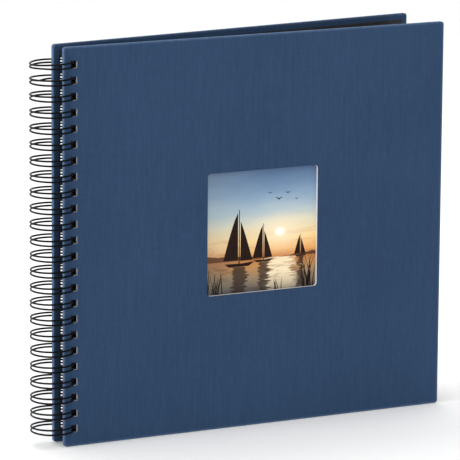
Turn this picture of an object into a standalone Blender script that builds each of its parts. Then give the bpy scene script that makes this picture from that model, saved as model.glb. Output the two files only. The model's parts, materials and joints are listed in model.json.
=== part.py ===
"""Scrapbook album: two cloth-covered boards and twenty black card leaves on a black twin-loop wire.

The album stands on its lower edges, spine toward -X, front cover toward -Y, opened a few degrees.
Every turning piece has its origin on one upright line, the centre line of the wire rings.
"""
import bpy
import bmesh
from math import asin, cos, pi, radians, sin, sqrt

# ---------------------------------------------------------------- driving sizes (metres)
COVER_W = 0.342          # spine edge to fore edge
COVER_H = 0.320
CORNER_R = 0.0022
HOLE_PITCH = 0.0127      # two holes to the inch
HOLES = 24
HOLE_W = 0.0055          # across, in the covers
HOLE_H = 0.0060
HOLE_IN = 0.0090         # spine edge to hole centre, in the covers
OPEN_DEG = 6.4           # how far the front cover stands open

CLOTH = 0.00035
CLEAR = 0.00004          # glue line between layers
BOARD = 0.0022
ENDPAPER = 0.00020
PRINT = 0.00025
TURN_IN = 0.015          # cloth turned over onto the inside
PAPER_IN = 0.005         # the endpaper stops short of the cover's edges

WINDOW = 0.100           # square opening in the front cover
WINDOW_R = 0.0025
WINDOW_X = 0.1765        # its centre from the spine edge
WINDOW_Z = 0.1600
PRINT_SIZE = 0.112

SPINE = 0.020            # outer face to outer face of the closed covers
RING_R = 0.0170          # wire centre line
WIRE_R = 0.00075
STRAND_GAP = 0.0036      # the two strands of one loop
STRAND_SEGS = 14

LEAVES = 20
LEAF_T = 0.0003
LEAF_PITCH = 0.00046
LEAF_W = 0.3205
LEAF_IN = 0.007           # leaves stop this far short of the top and bottom
LEAF_H = COVER_H - 2 * LEAF_IN
LEAF_HOLE_W = 0.0045
LEAF_HOLE_H = 0.0056
LEAF_MARGIN = 0.0025     # spine edge to hole edge
REAR_LEAF = 0.0029       # rearmost leaf's middle, behind the ring's centre

# depth of each layer, measured in from a cover's outer face
BOARD_0 = CLOTH + CLEAR
BOARD_1 = BOARD_0 + BOARD
TURN_0 = BOARD_1 + CLEAR
TURN_1 = TURN_0 + CLOTH
PAPER_0 = TURN_1 + CLEAR
PAPER_1 = PAPER_0 + ENDPAPER
PRINT_0 = BOARD_1 + 0.00006

# ring centre, from the back cover's spine edge and its outer face
HOLE_OFF = SPINE / 2 - PAPER_1 / 2
RING_X = HOLE_IN - sqrt(RING_R ** 2 - HOLE_OFF ** 2)
RING_Y = -SPINE / 2

# the ring's centre line in the shared frame: the whole album is centred on the origin
LEFT = RING_X - RING_R - WIRE_R
RIGHT = COVER_W
BACK = RING_Y + RING_R + WIRE_R
FRONT_DX = COVER_W - RING_X
FRONT_DY = -SPINE / 2
FRONT = RING_Y + FRONT_DY * cos(radians(OPEN_DEG)) - FRONT_DX * sin(radians(OPEN_DEG))
OX = -(LEFT + RIGHT) / 2
OY = -(BACK + FRONT) / 2
AXIS = (OX + RING_X, OY + RING_Y)

# ---------------------------------------------------------------- clean start
for old in list(bpy.data.objects):
    bpy.data.objects.remove(old, do_unlink=True)
ALBUM = bpy.data.collections.new("scrapbook_album")
TOOLS = bpy.data.collections.new("cutters")
bpy.context.scene.collection.children.link(ALBUM)
bpy.context.scene.collection.children.link(TOOLS)


def material(name, colour, rough, metal=0.0):
    m = bpy.data.materials.new(name)
    m.use_nodes = True
    p = m.node_tree.nodes["Principled BSDF"]
    p.inputs["Base Color"].default_value = (*colour, 1.0)
    p.inputs["Roughness"].default_value = rough
    p.inputs["Metallic"].default_value = metal
    m.diffuse_color = (*colour, 1.0)
    return m


# ---------------------------------------------------------------- outlines
def rounded(x0, z0, x1, z1, r, steps=3):
    """Corner points of a rectangle with rounded corners, going round once."""
    if r <= 0:
        return [(x0, z0), (x1, z0), (x1, z1), (x0, z1)]
    out = []
    for cx, cz, start in ((x1 - r, z0 + r, -pi / 2), (x1 - r, z1 - r, 0.0), (x0 + r, z1 - r, pi / 2), (x0 + r, z0 + r, pi)):
        for k in range(steps + 1):
            a = start + (pi / 2) * k / steps
            out.append((cx + r * cos(a), cz + r * sin(a)))
    return out


def hole_rows(x, w, h):
    """The row of punched holes beside the spine, centred on x."""
    first = COVER_H / 2 - HOLE_PITCH * (HOLES - 1) / 2
    out = []
    for i in range(HOLES):
        z = first + i * HOLE_PITCH
        out.append([(x - w / 2, z - h / 2), (x + w / 2, z - h / 2), (x + w / 2, z + h / 2), (x - w / 2, z + h / 2)])
    return out


# ---------------------------------------------------------------- flat pieces
def sheet_curve(name, loops, thick):
    """A flat piece as a filled outline: the first loop is its edge, the rest are openings."""
    cu = bpy.data.curves.new(name, "CURVE")
    cu.dimensions = "2D"
    cu.fill_mode = "BOTH"
    cu.extrude = thick / 2
    for loop in loops:
        sp = cu.splines.new("POLY")
        sp.points.add(len(loop) - 1)
        for p, (x, z) in zip(sp.points, loop):
            p.co = (x, z, 0.0, 1.0)
        sp.use_cyclic_u = True
    return bpy.data.objects.new(name, cu)


def stand(ob, y):
    """Turns a flat outline upright, its middle plane at y from the ring's centre line."""
    ob.rotation_euler = (pi / 2, 0.0, 0.0)
    ob.location = (AXIS[0], AXIS[1] + y, 0.0)
    return ob


def solid(name, loops, thick, collection):
    """The same flat piece as a welded mesh, for cutting."""
    ob = sheet_curve(name + "_outline", loops, thick)
    collection.objects.link(ob)
    bpy.context.view_layer.update()
    deps = bpy.context.evaluated_depsgraph_get()
    me = bpy.data.meshes.new_from_object(ob.evaluated_get(deps))
    bm = bmesh.new()
    bm.from_mesh(me)
    bmesh.ops.remove_doubles(bm, verts=bm.verts, dist=1e-6)
    bmesh.ops.recalc_face_normals(bm, faces=bm.faces)
    bm.to_mesh(me)
    bm.free()
    cu = ob.data
    bpy.data.objects.remove(ob, do_unlink=True)
    bpy.data.curves.remove(cu)
    out = bpy.data.objects.new(name, me)
    me.name = name
    collection.objects.link(out)
    return out


def cut(ob, cutter):
    cutter.hide_render = True
    cutter.display_type = "WIRE"
    mod = ob.modifiers.new(cutter.name, "BOOLEAN")
    mod.operation = "DIFFERENCE"
    mod.solver = "EXACT"
    mod.object = cutter


def layer(depth0, depth1, side):
    """Middle plane of a cover layer, from the ring's centre line; side is +1 for the back cover, -1 for the front."""
    return side * (SPINE / 2 - (depth0 + depth1) / 2)


def local(loop):
    """Cover outline points, measured from the spine edge, taken to the ring's centre line."""
    return [(x - RING_X, z) for x, z in loop]


BLUE = material("bookcloth_blue", (0.035, 0.065, 0.125), 0.85)
CORE = material("board_core", (0.62, 0.58, 0.55), 0.9)
LINING = material("endpaper_black", (0.016, 0.016, 0.018), 0.8)
CARD = material("black_card", (0.012, 0.012, 0.013), 0.85)
BLACK_WIRE = material("wire_black", (0.01, 0.01, 0.012), 0.35, 0.6)
PICTURE = material("photo_print", (0.55, 0.42, 0.28), 0.4)


def cover(prefix, side, window):
    """One cover: cloth, board and endpaper, all with the punched row, and the window if it has one."""
    holes = [local(h) for h in hole_rows(HOLE_IN, HOLE_W, HOLE_H)]
    half = WINDOW / 2
    opening = [local(rounded(WINDOW_X - half, WINDOW_Z - half, WINDOW_X + half, WINDOW_Z + half, WINDOW_R))] if window else []
    made = []

    edge = local(rounded(0.0, 0.0, COVER_W, COVER_H, CORNER_R, 4))
    cloth = solid(prefix + "_cloth", [edge] + holes, TURN_1, ALBUM)
    cloth.data.materials.append(BLUE)
    stand(cloth, layer(0.0, TURN_1, side))
    inset = CLOTH + CLEAR
    bed = local(rounded(CLOTH, CLOTH, COVER_W - CLOTH, COVER_H - CLOTH, CORNER_R - CLOTH, 4))
    cut(cloth, stand(solid(prefix + "_bed", [bed], TURN_0 - CLOTH, TOOLS), layer(CLOTH, TURN_0, side)))
    inner = local(rounded(TURN_IN, TURN_IN, COVER_W - TURN_IN, COVER_H - TURN_IN, 0.0))
    cut(cloth, stand(solid(prefix + "_turn_in_edge", [inner], 0.0012, TOOLS), layer(TURN_0 - 0.0002, TURN_0 + 0.0010, side)))
    if window:
        cut(cloth, stand(solid(prefix + "_window_cut", opening, 0.002, TOOLS), layer(-0.001, 0.001, side)))
    made.append(cloth)

    board_edge = local(rounded(inset, inset, COVER_W - inset, COVER_H - inset, CORNER_R - inset, 4))
    board = sheet_curve(prefix + "_board", [board_edge] + holes + opening, BOARD)
    board.data.materials.append(CORE)
    made.append(stand(board, layer(BOARD_0, BOARD_1, side)))

    paper_edge = local(rounded(PAPER_IN, PAPER_IN, COVER_W - PAPER_IN, COVER_H - PAPER_IN, 0.0))
    paper = sheet_curve(prefix + "_endpaper", [paper_edge] + holes, ENDPAPER)
    paper.data.materials.append(LINING)
    made.append(stand(paper, layer(PAPER_0, PAPER_1, side)))

    if window:
        h = PRINT_SIZE / 2
        photo = sheet_curve("cover_photo", [local(rounded(WINDOW_X - h, WINDOW_Z - h, WINDOW_X + h, WINDOW_Z + h, 0.0))], PRINT)
        photo.data.materials.append(PICTURE)
        made.append(stand(photo, layer(PRINT_0, PRINT_0 + PRINT, side)))
    for ob in made:
        if ob.name not in ALBUM.objects:
            ALBUM.objects.link(ob)
    return made


cover("back_cover", 1, False)

# the front cover turns about the ring's centre line, so its pieces hang from a marker on that line
hinge = bpy.data.objects.new("front_cover_hinge", None)
ALBUM.objects.link(hinge)
hinge.location = (AXIS[0], AXIS[1], 0.0)
front = cover("front_cover", -1, True)
cutters = [ob for ob in TOOLS.objects if ob.name.startswith("front_cover")]
for ob in front + cutters:
    ob.parent = hinge
    ob.location = (0.0, ob.location[1] - AXIS[1], 0.0)
hinge.rotation_euler = (0.0, 0.0, -radians(OPEN_DEG))

# ---------------------------------------------------------------- leaves, front to rear
for n in range(1, LEAVES + 1):
    y = REAR_LEAF - (LEAVES - n) * LEAF_PITCH
    xh = sqrt(RING_R ** 2 - y ** 2)
    x0 = xh - LEAF_HOLE_W / 2 - LEAF_MARGIN
    loops = [[(x0, LEAF_IN), (x0 + LEAF_W, LEAF_IN), (x0 + LEAF_W, LEAF_IN + LEAF_H), (x0, LEAF_IN + LEAF_H)]]
    loops += hole_rows(xh, LEAF_HOLE_W, LEAF_HOLE_H)
    leaf = sheet_curve(f"leaf_{n:02d}", loops, LEAF_T)
    leaf.data.materials.append(CARD)
    ALBUM.objects.link(leaf)
    # each leaf hangs from its own marker on the turning line, standing off it by y
    marker = bpy.data.objects.new(f"leaf_{n:02d}_hinge", None)
    marker.location = (AXIS[0], AXIS[1], 0.0)
    ALBUM.objects.link(marker)
    leaf.parent = marker
    leaf.rotation_euler = (pi / 2, 0.0, 0.0)
    leaf.location = (0.0, y, 0.0)

# ---------------------------------------------------------------- wire
# Round the ring the angle runs from +X toward the front. The roots lie behind the rearmost leaf and the
# closed finger tips behind them, against the back cover.
ROOT = -asin((REAR_LEAF + LEAF_T / 2 + 0.0002 + WIRE_R) / RING_R)
TIP = 2 * pi - asin((SPINE / 2 - PAPER_1 - 0.0002 - WIRE_R) / RING_R)


def wire_path():
    first = COVER_H / 2 - HOLE_PITCH * (HOLES - 1) / 2
    pts = []
    for i in range(HOLES):
        z = first + i * HOLE_PITCH
        low, high = z - STRAND_GAP / 2, z + STRAND_GAP / 2
        ring = [ROOT + (TIP - ROOT) * k / STRAND_SEGS for k in range(STRAND_SEGS + 1)]
        for a in ring:
            pts.append((RING_R * cos(a), -RING_R * sin(a), low))
        for a in reversed(ring):
            pts.append((RING_R * cos(a), -RING_R * sin(a), high))
    return pts


path = wire_path()
cu = bpy.data.curves.new("wire_binding", "CURVE")
cu.dimensions = "3D"
cu.bevel_depth = WIRE_R
cu.bevel_resolution = 0
cu.use_fill_caps = True
sp = cu.splines.new("POLY")
sp.points.add(len(path) - 1)
for p, (x, y, z) in zip(sp.points, path):
    p.co = (x, y, z, 1.0)
sp.use_smooth = True
wire = bpy.data.objects.new("wire_binding", cu)
wire.data.materials.append(BLACK_WIRE)
wire.location = (AXIS[0], AXIS[1], 0.0)
ALBUM.objects.link(wire)
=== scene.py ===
"""Looks for the scrapbook album: bookcloth, board, card, coated wire and a sunset print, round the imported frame."""
import bpy
import bmesh
import json
import random
from math import asin, cos, exp, pi, radians, sin, sqrt
from mathutils import Matrix, Vector


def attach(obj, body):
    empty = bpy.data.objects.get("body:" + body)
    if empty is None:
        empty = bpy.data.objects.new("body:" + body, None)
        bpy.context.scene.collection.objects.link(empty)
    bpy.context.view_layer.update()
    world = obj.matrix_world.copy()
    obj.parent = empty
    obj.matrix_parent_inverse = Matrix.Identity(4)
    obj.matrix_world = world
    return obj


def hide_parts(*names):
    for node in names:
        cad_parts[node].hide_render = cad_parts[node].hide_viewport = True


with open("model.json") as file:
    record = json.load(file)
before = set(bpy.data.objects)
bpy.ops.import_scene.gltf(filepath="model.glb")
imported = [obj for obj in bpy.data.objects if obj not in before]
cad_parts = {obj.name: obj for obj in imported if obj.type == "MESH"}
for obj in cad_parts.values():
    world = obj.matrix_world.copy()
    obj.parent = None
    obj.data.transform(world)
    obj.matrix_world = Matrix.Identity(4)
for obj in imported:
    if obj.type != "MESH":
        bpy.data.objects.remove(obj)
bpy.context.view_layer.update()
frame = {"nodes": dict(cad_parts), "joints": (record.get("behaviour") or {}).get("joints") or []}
nodes = frame["nodes"]

# ---------------------------------------------------------------- sizes repeated from the part
PITCH, HOLES, COVER_W, COVER_H = 0.0127, 24, 0.342, 0.320
RING_R, WIRE_R, SPINE, PAPER_1 = 0.0170, 0.00075, 0.020, 0.00322
OPEN = radians(6.4)
HOLE_IN, HOLE_W, HOLE_H = 0.0090, 0.0055, 0.0060
HOLE_OFF = SPINE / 2 - PAPER_1 / 2
RING_X = HOLE_IN - sqrt(RING_R ** 2 - HOLE_OFF ** 2)
joint = next(j for j in frame["joints"] if j["name"] == "front_cover_turn")
AX, AY = joint["pos_m"][0], joint["pos_m"][1]
WIN_X, WIN_Z, WIN = 0.1765, 0.160, 0.100
Z0 = COVER_H / 2 - PITCH * (HOLES - 1) / 2


def srgb(r, g, b, a=1.0):
    def f(c):
        c /= 255.0
        return c / 12.92 if c <= 0.04045 else ((c + 0.055) / 1.055) ** 2.4
    return (f(r), f(g), f(b), a)


def on_cover(x, z, depth, side):
    """World point on a cover: x from the spine edge, depth in from its outer face; side -1 is the front cover."""
    dx, dy = x - RING_X, side * (SPINE / 2 - depth)
    a = -OPEN if side < 0 else 0.0
    return Vector((AX + dx * cos(a) - dy * sin(a), AY + dx * sin(a) + dy * cos(a), z))


# ---------------------------------------------------------------- node helpers
class Net:
    def __init__(self, name, rough=0.8, metal=0.0, spec=0.5):
        self.m = bpy.data.materials.new(name)
        self.m.use_nodes = True
        self.t = self.m.node_tree
        self.b = self.t.nodes["Principled BSDF"]
        self.b.inputs["Roughness"].default_value = rough
        self.b.inputs["Metallic"].default_value = metal
        self.b.inputs["Specular IOR Level"].default_value = spec
        self.co = self.t.nodes.new("ShaderNodeTexCoord").outputs["Object"]

    def put(self, sock, v):
        if hasattr(v, "is_output"):
            self.t.links.new(v, sock)
        else:
            sock.default_value = v

    def math(self, op, a, b=0.0, c=0.0, clamp=False):
        n = self.t.nodes.new("ShaderNodeMath")
        n.operation = op
        n.use_clamp = clamp
        for s, v in zip(n.inputs, (a, b, c)):
            self.put(s, v)
        return n.outputs[0]

    def noise(self, vec, scale, detail=2.0, rough=0.5, out="Fac"):
        n = self.t.nodes.new("ShaderNodeTexNoise")
        self.put(n.inputs["Vector"], vec)
        n.inputs["Scale"].default_value = scale
        n.inputs["Detail"].default_value = detail
        n.inputs["Roughness"].default_value = rough
        return n.outputs[out]

    def scaled(self, vec, s, rot=(0, 0, 0), loc=(0, 0, 0)):
        n = self.t.nodes.new("ShaderNodeMapping")
        self.put(n.inputs["Vector"], vec)
        n.inputs["Scale"].default_value = s
        n.inputs["Rotation"].default_value = rot
        n.inputs["Location"].default_value = loc
        return n.outputs[0]

    def ramp(self, fac, stops, mode="LINEAR"):
        n = self.t.nodes.new("ShaderNodeValToRGB")
        n.color_ramp.interpolation = mode
        els = n.color_ramp.elements
        while len(els) > 1:
            els.remove(els[-1])
        els[0].position, els[0].color = stops[0]
        for p, c in stops[1:]:
            e = els.new(p)
            e.color = c
        self.put(n.inputs["Fac"], fac)
        return n.outputs["Color"]

    def mix(self, fac, a, b, kind="MIX"):
        n = self.t.nodes.new("ShaderNodeMix")
        n.data_type = "RGBA"
        n.blend_type = kind
        self.put(n.inputs["Factor"], fac)
        self.put(n.inputs[6], a)
        self.put(n.inputs[7], b)
        return n.outputs[2]

    def split(self, vec):
        n = self.t.nodes.new("ShaderNodeSeparateXYZ")
        self.put(n.inputs[0], vec)
        return n.outputs

    def bump(self, height, dist, strength=1.0, normal=None):
        n = self.t.nodes.new("ShaderNodeBump")
        n.inputs["Distance"].default_value = dist
        n.inputs["Strength"].default_value = strength
        self.put(n.inputs["Height"], height)
        if normal is not None:
            self.put(n.inputs["Normal"], normal)
        return n.outputs[0]

    def colour(self, v):
        self.put(self.b.inputs["Base Color"], v)

    def normal(self, v):
        self.put(self.b.inputs["Normal"], v)

    def rough(self, v):
        self.put(self.b.inputs["Roughness"], v)


def straightened(net, side):
    """Cover coordinates: X from the hinge line across the cover, Z up, whatever angle the cover stands at."""
    v = net.scaled(net.co, (1, 1, 1), loc=(-AX, -AY, 0))
    return net.scaled(v, (1, 1, 1), rot=(0, 0, OPEN if side < 0 else 0.0))


# ---------------------------------------------------------------- materials
def bookcloth(name, side):
    n = Net(name, rough=0.85, spec=0.16)
    p = straightened(n, side)
    warp_n = n.noise(n.scaled(p, (2100, 2100, 90)), 1.0, 2.0)
    weft_n = n.noise(n.scaled(p, (110, 110, 2300)), 1.0, 2.0)
    x, y, z = n.split(p)
    wx = n.math("SINE", n.math("MULTIPLY", n.math("ADD", x, y), 2 * pi / 0.00052))
    wz = n.math("SINE", n.math("MULTIPLY", z, 2 * pi / 0.00048))
    weave = n.math("MULTIPLY", wx, wz)
    threads = n.math("ADD", n.math("MULTIPLY", warp_n, 1.3), n.math("MULTIPLY", weft_n, 0.7))
    height = n.math("ADD", n.math("MULTIPLY", threads, 0.8), n.math("MULTIPLY", weave, 0.18))
    slub = n.noise(n.scaled(p, (420, 420, 22)), 1.0, 3.0, 0.6)
    broad = n.noise(p, 9.0, 3.0, 0.55)
    base = n.ramp(n.math("DIVIDE", threads, 2.0), [(0.34, srgb(34, 54, 81)), (0.5, srgb(42, 65, 95)), (0.66, srgb(50, 76, 108))])
    tint = n.ramp(slub, [(0.36, srgb(39, 62, 91)), (0.64, srgb(44, 68, 98))])
    base = n.mix(0.55, base, tint)
    shade = n.ramp(broad, [(0.35, (0.96, 0.96, 0.97, 1)), (0.65, (1.04, 1.05, 1.04, 1))])
    base = n.mix(1.0, base, shade, "MULTIPLY")
    # painted highlight: the cloth edges mixed a little paler, broken up by noise, standing in for light caught on the
    # rounded edges
    edge = n.math("MAXIMUM", n.math("SUBTRACT", n.math("ABSOLUTE", n.math("SUBTRACT", z, COVER_H / 2)), COVER_H / 2 - 0.0018),
                  n.math("SUBTRACT", n.math("ABSOLUTE", n.math("SUBTRACT", n.math("ADD", x, RING_X), COVER_W / 2)), COVER_W / 2 - 0.0018))
    painted_edge_highlight = n.math("MULTIPLY", edge, 420.0, clamp=True)
    painted_edge_highlight = n.math("MULTIPLY", painted_edge_highlight, n.noise(p, 260.0, 3.0, 0.6))
    # pale blue of the painted edge highlight
    base = n.mix(painted_edge_highlight, base, srgb(104, 128, 160))
    n.colour(base)
    n.rough(n.math("ADD", n.math("MULTIPLY", warp_n, 0.18), 0.7))
    n.b.inputs["Sheen Weight"].default_value = 0.04
    n.b.inputs["Sheen Roughness"].default_value = 0.5
    n.b.inputs["Sheen Tint"].default_value = srgb(150, 175, 215)
    n.normal(n.bump(height, 0.00010, 0.75))
    return n.m


def greyboard():
    n = Net("board_core", rough=0.92, spec=0.2)
    fibre = n.noise(n.scaled(n.co, (900, 900, 900)), 1.0, 4.0, 0.65)
    ply = n.noise(n.scaled(n.co, (500, 2600, 500)), 1.0, 2.0)
    n.colour(n.mix(0.35, n.ramp(fibre, [(0.3, srgb(196, 190, 188)), (0.7, srgb(232, 227, 226))]), n.ramp(ply, [(0.35, srgb(200, 195, 194)), (0.65, srgb(236, 232, 231))])))
    n.normal(n.bump(fibre, 0.00012, 0.6))
    return n.m


def black_paper(name, dark, light, rough):
    n = Net(name, rough=rough, spec=0.3)
    p = n.co
    fine = n.noise(n.scaled(p, (1400, 1400, 1400)), 1.0, 4.0, 0.7)
    felt = n.noise(n.scaled(p, (260, 260, 260)), 1.0, 3.0, 0.6)
    fibres = n.noise(n.scaled(p, (2400, 2400, 180), rot=(0, 0.5, 0)), 1.0, 2.0)
    base = n.ramp(n.math("ADD", n.math("MULTIPLY", fine, 0.5), n.math("MULTIPLY", felt, 0.5)), [(0.36, dark), (0.64, light)])
    specks = n.math("MULTIPLY", n.math("SUBTRACT", fibres, 0.68), 9.0, clamp=True)
    base = n.mix(n.math("MULTIPLY", specks, 0.5), base, srgb(74, 74, 78))
    n.colour(base)
    n.rough(n.math("ADD", n.math("MULTIPLY", felt, 0.2), rough - 0.1))
    n.normal(n.bump(n.math("ADD", fine, n.math("MULTIPLY", felt, 1.5)), 0.00006, 0.7))
    return n.m


def coated_wire():
    n = Net("wire_black", rough=0.3, spec=0.07)
    fine = n.noise(n.scaled(n.co, (1800, 1800, 1800)), 1.0, 3.0, 0.6)
    wide = n.noise(n.scaled(n.co, (160, 160, 160)), 1.0, 2.0)
    n.colour(n.ramp(wide, [(0.35, srgb(4, 4, 5)), (0.7, srgb(9, 9, 10))]))
    n.rough(n.math("ADD", n.math("MULTIPLY", fine, 0.22), 0.22))
    n.normal(n.bump(fine, 0.00002, 0.4))
    return n.m


def sunset():
    n = Net("photo_print", rough=0.42, spec=0.14)
    p = straightened(n, -1)
    x, y, z = n.split(p)
    u = n.math("DIVIDE", n.math("SUBTRACT", n.math("ADD", x, RING_X), WIN_X - WIN / 2), WIN)
    v = n.math("DIVIDE", n.math("SUBTRACT", z, WIN_Z - WIN / 2), WIN)
    # sky, from the haze at the horizon to slate blue overhead
    drift = n.noise(n.scaled(p, (16, 16, 60)), 1.0, 5.0, 0.62)
    sky_v = n.math("ADD", v, n.math("MULTIPLY", n.math("SUBTRACT", drift, 0.5), 0.16))
    sky = n.ramp(sky_v, [(0.27, srgb(198, 124, 62)), (0.33, srgb(238, 176, 104)), (0.43, srgb(249, 214, 152)), (0.55, srgb(222, 216, 190)),
                         (0.66, srgb(172, 190, 200)), (0.78, srgb(134, 160, 186)), (0.90, srgb(100, 128, 160)), (1.0, srgb(76, 100, 134))])
    # the left of the sky is cooler and a little darker
    left = n.math("MULTIPLY", n.math("SUBTRACT", 0.55, u), 0.9, clamp=True)
    sky = n.mix(n.math("MULTIPLY", left, 0.75), sky, srgb(128, 142, 148))
    # warm cloud bars low down
    bars = n.noise(n.scaled(p, (22, 22, 150), loc=(3.1, 0, 1.7)), 1.0, 5.0, 0.6)
    low = n.math("SUBTRACT", 1.0, n.math("MULTIPLY", n.math("ABSOLUTE", n.math("SUBTRACT", v, 0.36)), 6.0), clamp=True)
    bar_f = n.math("MULTIPLY", n.math("MULTIPLY", n.math("SUBTRACT", bars, 0.52), 7.0, clamp=True), low)
    sky = n.mix(n.math("MULTIPLY", bar_f, 0.75), sky, srgb(171, 112, 66))
    # glow round the low sun
    du, dv = n.math("SUBTRACT", u, 0.67), n.math("SUBTRACT", v, 0.475)
    d2 = n.math("ADD", n.math("MULTIPLY", du, du), n.math("MULTIPLY", n.math("MULTIPLY", dv, dv), 1.8))
    glow = n.math("POWER", 2.718, n.math("MULTIPLY", d2, -34.0))
    sky = n.mix(n.math("MULTIPLY", glow, 0.72), sky, srgb(252, 236, 204))
    sun = n.math("MULTIPLY", n.math("SUBTRACT", 0.0034, d2), 330.0, clamp=True)
    sky = n.mix(sun, sky, srgb(255, 253, 240))
    # water, darker to the left, with a bright track under the sun
    rip = n.noise(n.scaled(p, (90, 90, 620)), 1.0, 4.0, 0.65)
    swell = n.noise(n.scaled(p, (26, 26, 170), loc=(7, 0, 2)), 1.0, 3.0, 0.6)
    depth = n.math("SUBTRACT", 0.27, v)
    water = n.ramp(n.math("MULTIPLY", depth, 3.7), [(0.0, srgb(186, 118, 62)), (0.25, srgb(190, 138, 84)), (0.6, srgb(146, 126, 100)), (1.0, srgb(72, 74, 78))])
    dark_left = n.math("MULTIPLY", n.math("SUBTRACT", 0.42, u), 1.3, clamp=True)
    water = n.mix(dark_left, water, srgb(84, 88, 86))
    track_w = n.math("ADD", 60.0, n.math("MULTIPLY", depth, -110.0))
    track = n.math("POWER", 2.718, n.math("MULTIPLY", n.math("MULTIPLY", du, du), n.math("MULTIPLY", track_w, -1.0)))
    shine = n.math("MULTIPLY", n.math("SUBTRACT", n.math("ADD", n.math("MULTIPLY", rip, 0.9), n.math("MULTIPLY", track, 0.5)), 0.60), 4.5, clamp=True)
    shine = n.math("MULTIPLY", shine, n.math("ADD", n.math("MULTIPLY", v, 4.5), 0.3, clamp=True))
    water = n.mix(n.math("MULTIPLY", shine, 0.9), water, srgb(253, 234, 196))
    trough = n.math("MULTIPLY", n.math("SUBTRACT", 0.47, n.math("ADD", n.math("MULTIPLY", rip, 0.5), n.math("MULTIPLY", swell, 0.5))), 7.0, clamp=True)
    water = n.mix(n.math("MULTIPLY", trough, 0.65), water, srgb(80, 56, 40))
    is_water = n.math("MULTIPLY", n.math("SUBTRACT", 0.27, v), 260.0, clamp=True)
    pic = n.mix(is_water, sky, water)
    # far shore
    hill = n.noise(n.scaled(n.scaled(p, (1, 1, 0.0)), (34, 34, 1), loc=(1.3, 0, 0)), 1.0, 4.0, 0.55)
    away = n.math("MULTIPLY", n.math("ABSOLUTE", n.math("SUBTRACT", u, 0.66)), 0.085)
    crest = n.math("ADD", n.math("ADD", 0.262, away), n.math("MULTIPLY", n.math("SUBTRACT", hill, 0.45), 0.10))
    land = n.math("MULTIPLY", n.math("MULTIPLY", n.math("SUBTRACT", crest, v), 200.0, clamp=True), n.math("MULTIPLY", n.math("SUBTRACT", v, 0.262), 260.0, clamp=True))
    pic = n.mix(n.math("MULTIPLY", land, 0.92), pic, srgb(84, 49, 27))
    # a dark, broken reflection under each hull
    off = n.math("MULTIPLY", n.math("SUBTRACT", rip, 0.5), 0.16)
    for cu_, wide, top in ((0.30, 0.070, 0.215), (0.52, 0.050, 0.238), (0.86, 0.030, 0.255)):
        across = n.math("ABSOLUTE", n.math("ADD", n.math("SUBTRACT", u, cu_), off))
        body = n.math("MULTIPLY", n.math("SUBTRACT", wide, across), 70.0, clamp=True)
        below = n.math("MULTIPLY", n.math("SUBTRACT", top, v), 300.0, clamp=True)
        pic = n.mix(n.math("MULTIPLY", n.math("MULTIPLY", body, below), 0.85), pic, srgb(44, 28, 22))
    grain = n.noise(n.scaled(p, (3200, 3200, 3200)), 1.0, 1.0)
    pic = n.mix(1.0, pic, n.ramp(grain, [(0.3, (0.94, 0.94, 0.94, 1)), (0.7, (1.04, 1.04, 1.04, 1))]), "MULTIPLY")
    n.colour(pic)
    n.normal(n.bump(n.noise(n.scaled(p, (900, 900, 900)), 1.0, 3.0), 0.00001, 0.3))
    return n.m


def ink():
    n = Net("print_ink", rough=0.5, spec=0.08)
    tone = n.noise(n.scaled(n.co, (700, 700, 700)), 1.0, 3.0, 0.6)
    n.colour(n.ramp(tone, [(0.3, srgb(22, 13, 12)), (0.7, srgb(44, 25, 18))]))
    n.normal(n.bump(tone, 0.00001, 0.3))
    return n.m


CLOTH_FRONT, CLOTH_BACK = bookcloth("bookcloth_front", -1), bookcloth("bookcloth_back", 1)
BOARD, WIRE, PRINT, INK = greyboard(), coated_wire(), sunset(), ink()
LINING = black_paper("endpaper_black", srgb(30, 31, 33), srgb(50, 52, 55), 0.78)
CARD = black_paper("black_card", srgb(19, 19, 21), srgb(36, 36, 39), 0.85)


def dress(ob, mat):
    ob.data.materials.clear()
    ob.data.materials.append(mat)


for name, ob in nodes.items():
    if name.startswith("leaf"):
        dress(ob, CARD)
    elif name.endswith("cloth"):
        dress(ob, CLOTH_FRONT if name.startswith("front") else CLOTH_BACK)
    elif name.endswith("endpaper"):
        dress(ob, LINING)
    elif name.endswith("board"):
        dress(ob, BOARD)
    elif name == "cover_photo":
        dress(ob, PRINT)
    elif name == "wire_binding":
        dress(ob, WIRE)

# cloth pulled round the boards has soft edges
for name in ("front_cover_cloth", "back_cover_cloth"):
    ob = nodes[name]
    bev = ob.modifiers.new("soft_edges", "BEVEL")
    bev.width = 0.00032
    bev.segments = 3
    bev.limit_method = "ANGLE"
    bev.angle_limit = radians(50)
    bev.use_clamp_overlap = True
    bev.harden_normals = False


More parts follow.
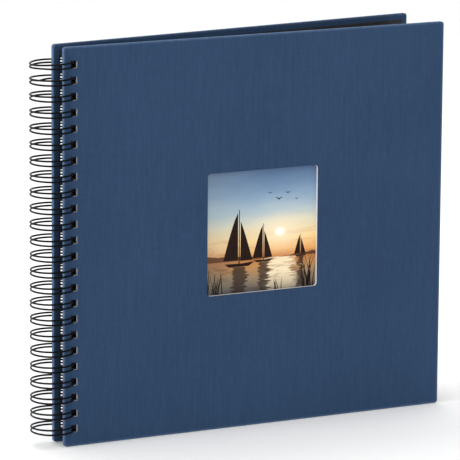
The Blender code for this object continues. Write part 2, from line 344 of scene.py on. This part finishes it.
# ---------------------------------------------------------------- wire
def wire_points():
    """One continuous serpentine bent round the ring: closed tips behind the leaves, open roots next to them."""
    root = -asin((0.0029 + 0.00015 + 0.0002 + WIRE_R) / RING_R)
    tip = -asin((SPINE / 2 - PAPER_1 - 0.0002 - WIRE_R) / RING_R) + 2 * pi
    rnd = random.Random(7)
    out = []

    def half(a, i):
        t = (a - root) / (tip - root)
        h = 0.00192 - 0.00067 * max(0.0, min(1.0, (t - 0.38) / 0.40)) ** 1.2
        if i == HOLES - 1:
            h -= 0.00055 * exp(-((t - 0.5) / 0.16) ** 2)
        return h

    def place(a, z, i, low):
        t = (a - root) / (tip - root)
        r = RING_R
        if i == HOLES - 1:
            z -= 0.0008 * exp(-((t - 0.62) / 0.14) ** 2)
        if i == HOLES - 2 and low:
            z -= 0.0014 * exp(-((t - 0.79) / 0.05) ** 2)
            r += 0.0005 * exp(-((t - 0.79) / 0.05) ** 2)
        # bent out of true only where no leaf or cover ever comes; the swept part stays inside the holes
        free = max(0.0, min(1.0, (t - 0.70) / 0.06))
        z += wob[i][0] * sin(pi * t) * (0.3 + 0.7 * free) * (1 if low else 0.6)
        r += wob[i][1] * sin(pi * t) ** 2 * (0.25 + 0.75 * free)
        return (AX + r * cos(a), AY - r * sin(a), z)

    wob = [(rnd.uniform(-0.00022, 0.00022), rnd.uniform(-0.00035, 0.00025)) for _ in range(HOLES)]
    steps = 54
    for i in range(HOLES):
        zc = Z0 + i * PITCH
        h_tip, rr = half(tip, i), 0.0008
        a0, a1 = root + rr / RING_R, tip - h_tip / RING_R
        # root corner, then up the lower strand to the tip
        for k in range(6):
            b = (pi / 2) * k / 6
            out.append(place(root + (rr - rr * cos(b)) / RING_R, zc - half(root, i) - rr + rr * sin(b), i, True))
        for k in range(steps + 1):
            a = a0 + (a1 - a0) * k / steps
            out.append(place(a, zc - half(a, i), i, True))
        for k in range(1, 10):
            b = -pi / 2 + pi * k / 10
            out.append(place(a1 + h_tip * cos(b) / RING_R, zc + h_tip * sin(b), i, b < 0))
        for k in range(steps + 1):
            a = a1 + (a0 - a1) * k / steps
            out.append(place(a, zc + half(a, i), i, False))
        for k in range(1, 7):
            b = (pi / 2) * (1 - k / 6)
            out.append(place(root + (rr - rr * cos(b)) / RING_R, zc + half(root, i) + rr - rr * sin(b), i, False))
    return out


cu = bpy.data.curves.new("wire_fine", "CURVE")
cu.dimensions = "3D"
cu.bevel_depth = WIRE_R
cu.bevel_resolution = 3
cu.use_fill_caps = True
pts = wire_points()
sp = cu.splines.new("POLY")
sp.points.add(len(pts) - 1)
for q, c in zip(sp.points, pts):
    q.co = (*c, 1.0)
sp.use_smooth = True
wire = bpy.data.objects.new("wire_fine", cu)
bpy.context.scene.collection.objects.link(wire)
dress(wire, WIRE)
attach(wire, "back_and_wire")
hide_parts("wire_binding")


# ---------------------------------------------------------------- shapes printed on the picture
def flat_shape(name, polys, lift=0.00001):
    """Thin dark shapes lying on the print; points are shares of the window, from its lower left."""
    bm = bmesh.new()
    for poly in polys:
        d = 0.00265 - lift
        vs = [bm.verts.new(on_cover(WIN_X - WIN / 2 + u * WIN, WIN_Z - WIN / 2 + v * WIN, d - 0.00002, -1)) for u, v in poly]
        f = bm.faces.new(vs)
        r = bmesh.ops.extrude_face_region(bm, geom=[f])
        back = on_cover(0, 0, 0.0, -1) - on_cover(0, 0, 0.00003, -1)
        bmesh.ops.translate(bm, vec=-back, verts=[e for e in r["geom"] if isinstance(e, bmesh.types.BMVert)])
    bmesh.ops.recalc_face_normals(bm, faces=bm.faces)
    me = bpy.data.meshes.new(name)
    bm.to_mesh(me)
    bm.free()
    ob = bpy.data.objects.new(name, me)
    bpy.context.scene.collection.objects.link(ob)
    dress(ob, INK)
    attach(ob, "front_cover")
    return ob


def blades():
    rnd = random.Random(21)
    polys = []
    groups = [(0.92, 0.08, 16, 0.26), (0.07, 0.09, 14, 0.20), (0.66, 0.05, 5, 0.09)]
    for centre, spread, count, tall in groups:
        for _ in range(count):
            u = centre + rnd.gauss(0, spread * 0.5)
            u = min(0.985, max(0.015, u))
            height = tall * rnd.uniform(0.5, 1.15)
            lean = rnd.uniform(-0.35, 0.35) * height
            w = rnd.uniform(0.006, 0.011)
            left, right = [], []
            for k in range(7):
                t = k / 6
                cx = u + lean * t * t
                half = w * (1 - t) ** 0.8 / 2 + 0.0006
                left.append((min(0.998, max(0.002, cx - half)), -0.03 + (height + 0.03) * t))
                right.append((min(0.999, max(0.003, cx + half)), -0.03 + (height + 0.03) * t))
            polys.append(left + right[::-1])
    return polys


def boat(cx, base, s):
    hull = [(cx - 0.085 * s, base + 0.018 * s), (cx - 0.06 * s, base), (cx + 0.055 * s, base), (cx + 0.09 * s, base + 0.022 * s), (cx + 0.02 * s, base + 0.016 * s)]
    mast = [(cx - 0.003 * s, base + 0.016 * s), (cx + 0.003 * s, base + 0.016 * s), (cx + 0.002 * s, base + 0.30 * s), (cx - 0.002 * s, base + 0.30 * s)]
    main, jib = [], []
    for k in range(9):
        t = k / 8
        main.append((cx - 0.008 * s - 0.085 * s * (1 - t) ** 0.8, base + 0.035 * s + 0.25 * s * t))
        jib.append((cx + 0.008 * s + 0.070 * s * (1 - t) ** 0.9, base + 0.03 * s + 0.21 * s * t))
    main = [(cx - 0.007 * s, base + 0.035 * s)] + main
    jib = [(cx + 0.007 * s, base + 0.03 * s)] + jib
    return [hull, mast, main, jib]


def birds():
    out = []
    for cx, cy, s in ((0.66, 0.74, 0.034), (0.74, 0.785, 0.025), (0.58, 0.795, 0.021), (0.82, 0.73, 0.018)):
        top, bot = [], []
        for k in range(9):
            t = -1 + 2 * k / 8
            lift = s * (0.55 * abs(sin(t * pi * 0.62)) - 0.25 * t * t)
            thick = s * 0.16 * (1.15 - abs(t))
            top.append((cx + s * t, cy + lift + thick))
            bot.append((cx + s * t, cy + lift - thick))
        out.append(top + bot[::-1])
    return out


flat_shape("print_grasses", blades())
flat_shape("print_boat", boat(0.30, 0.215, 1.55) + boat(0.52, 0.238, 1.05) + boat(0.86, 0.255, 0.62))
flat_shape("print_birds", birds())


# ---------------------------------------------------------------- folded cloth corners inside the covers
def mitre(name, side, corner_x, corner_z, sx, sz, mat, body):
    """The cloth's folded corner: a low ridge running in at 45 degrees to the endpaper's corner."""
    bm = bmesh.new()
    rows = []
    for k in range(7):
        t = k / 6
        d = 0.0008 + 0.0052 * t
        width = 0.00035 + 0.0004 * t
        height = 0.00008 * (1 - 0.3 * t)
        row = []
        for off, up in ((-width, 0.0), (-width * 0.2, height), (width * 0.9, height * 0.55), (width, 0.0)):
            x = corner_x + sx * (d + off * 0.7071)
            z = corner_z + sz * (d - off * 0.7071)
            row.append(bm.verts.new(on_cover(x, z, 0.00298 + up, side)))
        rows.append(row)
    for a, b in zip(rows, rows[1:]):
        for k in range(3):
            bm.faces.new((a[k], a[k + 1], b[k + 1], b[k]))
        bm.faces.new((a[3], a[0], b[0], b[3]))
    bm.faces.new(rows[0])
    bm.faces.new(rows[-1][::-1])
    bmesh.ops.recalc_face_normals(bm, faces=bm.faces)
    me = bpy.data.meshes.new(name)
    bm.to_mesh(me)
    bm.free()
    for p in me.polygons:
        p.use_smooth = True
    ob = bpy.data.objects.new(name, me)
    bpy.context.scene.collection.objects.link(ob)
    dress(ob, mat)
    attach(ob, body)


for side, body, mat, tag in ((1, "back_and_wire", CLOTH_BACK, "back"), (-1, "front_cover", CLOTH_FRONT, "front")):
    for k, (cx, cz, sx, sz) in enumerate(((0, 0, 1, 1), (COVER_W, 0, -1, 1), (COVER_W, COVER_H, -1, -1), (0, COVER_H, 1, -1))):
        mitre(f"{tag}_mitre_{k}", side, cx, cz, sx, sz, mat, body)

# ---------------------------------------------------------------- floor, light, camera
floor_me = bpy.data.meshes.new("floor")
bm = bmesh.new()
bmesh.ops.create_grid(bm, x_segments=8, y_segments=8, size=60.0)
bm.to_mesh(floor_me)
bm.free()
floor = bpy.data.objects.new("floor", floor_me)
floor.location = (0, 0, -0.0004)
bpy.context.scene.collection.objects.link(floor)
fl = Net("pale_floor", rough=0.9, spec=0.1)
fl.colour(fl.ramp(fl.noise(fl.co, 3.0, 2.0), [(0.3, (0.93, 0.93, 0.93, 1)), (0.7, (0.95, 0.95, 0.95, 1))]))
dress(floor, fl.m)

world = bpy.data.worlds.new("studio")
bpy.context.scene.world = world
world.use_nodes = True
bg = world.node_tree.nodes["Background"]
bg.inputs["Color"].default_value = (1.0, 1.0, 1.0, 1)
bg.inputs["Strength"].default_value = 1.0


def area(name, loc, target, size, power, colour=(1, 1, 1)):
    li = bpy.data.lights.new(name, "AREA")
    li.shape = "RECTANGLE"
    li.size, li.size_y = size
    li.energy = power
    li.color = colour
    ob = bpy.data.objects.new(name, li)
    ob.location = loc
    ob.rotation_euler = (Vector(target) - Vector(loc)).to_track_quat("-Z", "Y").to_euler()
    bpy.context.scene.collection.objects.link(ob)
    return ob


area("key", (-0.9, -2.0, 1.9), (0, 0, 0.10), (1.2, 1.2), 3)
area("side", (-2.0, 0.15, 0.5), (-0.15, 0, 0.16), (0.6, 1.4), 30)
area("top", (0.1, 0.9, 2.0), (0, 0, 0.2), (1.4, 1.0), 9)

AZ, EL, DIST, FPX, ROLL, TX, TZ = radians(33.787), radians(11.25), 3.1121, 3862.69, radians(0.405), -0.0070, 0.1602
d = Vector((sin(AZ) * cos(EL), cos(AZ) * cos(EL), -sin(EL)))
right = Vector((cos(AZ), -sin(AZ), 0.0))
up = right.cross(d)
r2 = right * cos(ROLL) + up * sin(ROLL)
u2 = -right * sin(ROLL) + up * cos(ROLL)
cam_data = bpy.data.cameras.new("camera")
cam_data.sensor_width = 36.0
cam_data.lens = FPX / 460 * 36.0
cam = bpy.data.objects.new("camera", cam_data)
m = Matrix((r2, u2, -d)).transposed().to_4x4()
m.translation = Vector((TX, 0, TZ)) - d * DIST
cam.matrix_world = m
bpy.context.scene.collection.objects.link(cam)
bpy.context.scene.camera = cam
bpy.context.scene.view_settings.view_transform = "Standard"
